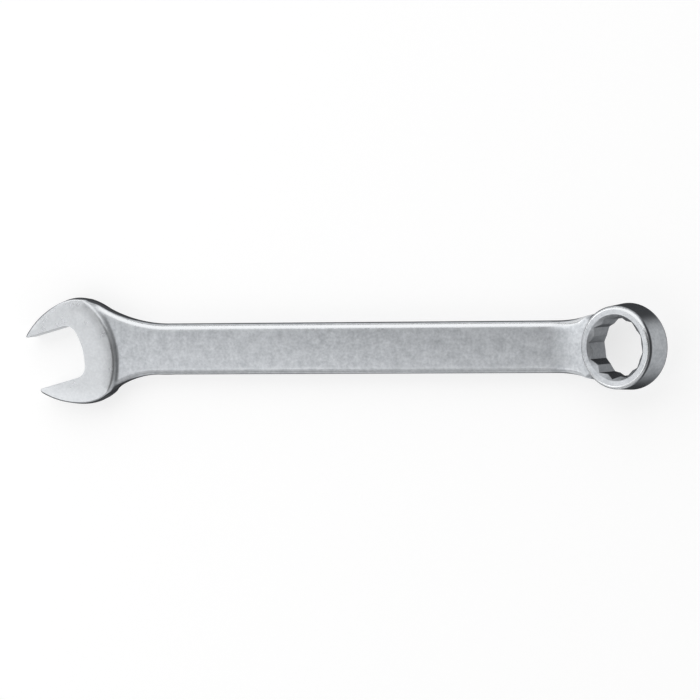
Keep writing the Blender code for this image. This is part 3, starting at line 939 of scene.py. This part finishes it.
floor_ray = floor_tree.nodes.new("ShaderNodeLightPath")


def either(first, second):
    """The larger of two values, which is 1 if either is."""
    node = floor_tree.nodes.new("ShaderNodeMath")
    node.operation = "MAXIMUM"
    floor_tree.links.new(first, node.inputs[0])
    floor_tree.links.new(second, node.inputs[1])
    return node.outputs["Value"]


seen = either(floor_ray.outputs["Is Camera Ray"], floor_ray.outputs["Is Glossy Ray"])
seen = either(seen, floor_ray.outputs["Is Transmission Ray"])
lift = floor_tree.nodes.new("ShaderNodeMath")
lift.operation = "MULTIPLY"
lift.inputs[1].default_value = FLOOR_LIFT
floor_tree.links.new(seen, lift.inputs[0])
floor_tree.links.new(lift.outputs["Value"], floor_shader.inputs["Emission Strength"])
floor_mesh.materials.append(floor_paint)


# Light: soft boxes overhead and to the left, wide ones past the far and the near edge, and
# weaker ones to the right and at the near right corner, in a dim room.
LAMP_POWER = 4.0
ROOM_GREY = (0.09, 0.09, 0.09, 1.0)


def soft_box(name, place, width, depth, radiance):
    """A flat lamp that faces the wrench, by its place and size in metres and how bright its
    face is. Its power is that brightness times its area, times four."""
    lamp = bpy.data.lights.new(name, "AREA")
    lamp.shape = "RECTANGLE"
    lamp.size = width
    lamp.size_y = depth
    lamp.energy = LAMP_POWER * radiance * width * depth
    box = bpy.data.objects.new(name, lamp)
    box.location = place
    box.rotation_mode = "QUATERNION"
    box.rotation_quaternion = Vector(place).to_track_quat("Z", "Y")
    box.visible_camera = False
    bpy.context.scene.collection.objects.link(box)


soft_box("top box", (-0.15, -0.41, 1.20), 0.6, 0.8, 0.30)
soft_box("key box", (-0.642, -0.305, 1.309), 0.7, 0.472, 1.06)
soft_box("low key box", (-0.951, -0.452, 1.054), 0.7, 0.392, 0.75)
soft_box("left box", (-0.97, -0.25, 0.51), 1.6, 0.49, 0.74)
soft_box("far box", (-0.30, 0.75, 0.69), 2.6, 1.34, 0.95)
soft_box("right box", (0.98, 0.0, 0.93), 2.2, 0.9, 0.16)
soft_box("corner box", (0.85, -0.75, 0.42), 1.3, 0.55, 0.45)
soft_box("near box", (-0.20, -0.90, 0.60), 2.4, 0.9, 0.45)
world = bpy.data.worlds.new("dim room")
world.use_nodes = True
world.node_tree.nodes["Background"].inputs["Color"].default_value = ROOM_GREY
bpy.context.scene.world = world


# Camera: a long lens high on the box end's side, turned so that the shank lies level.
# It aims a little to the right of the wrench's middle, at half the head's height.
LEAN = math.radians(20.636)
TIP = math.radians(2.616)
ROLL = math.radians(1.320)
DISTANCE = 1.7243
AIM_UP = 0.0045
AIM_RIGHT = 0.00268
AIM_BELOW = 0.00036
FOCAL_LENGTH = 251.4
SENSOR_WIDTH = 36.0
NEAREST = 0.05
FARTHEST = 50.0
towards = Vector((math.sin(LEAN) * math.cos(TIP), math.sin(TIP), math.cos(LEAN) * math.cos(TIP)))
level = Vector((0.0, 1.0, 0.0)).cross(towards).normalized()
upright = towards.cross(level)
right = level * math.cos(ROLL) - upright * math.sin(ROLL)
above = upright * math.cos(ROLL) + level * math.sin(ROLL)
aim = Vector((0.0, 0.0, AIM_UP)) + right * AIM_RIGHT - above * AIM_BELOW
camera_turn = Matrix((right, above, towards)).transposed().to_4x4()
lens = bpy.data.cameras.new("camera")
lens.lens = FOCAL_LENGTH
lens.sensor_width = SENSOR_WIDTH
lens.clip_start = NEAREST
lens.clip_end = FARTHEST
camera = bpy.data.objects.new("camera", lens)
camera.matrix_world = Matrix.Translation(aim + towards * DISTANCE) @ camera_turn
bpy.context.scene.collection.objects.link(camera)
bpy.context.scene.camera = camera
bpy.context.scene.view_settings.view_transform = "Standard"
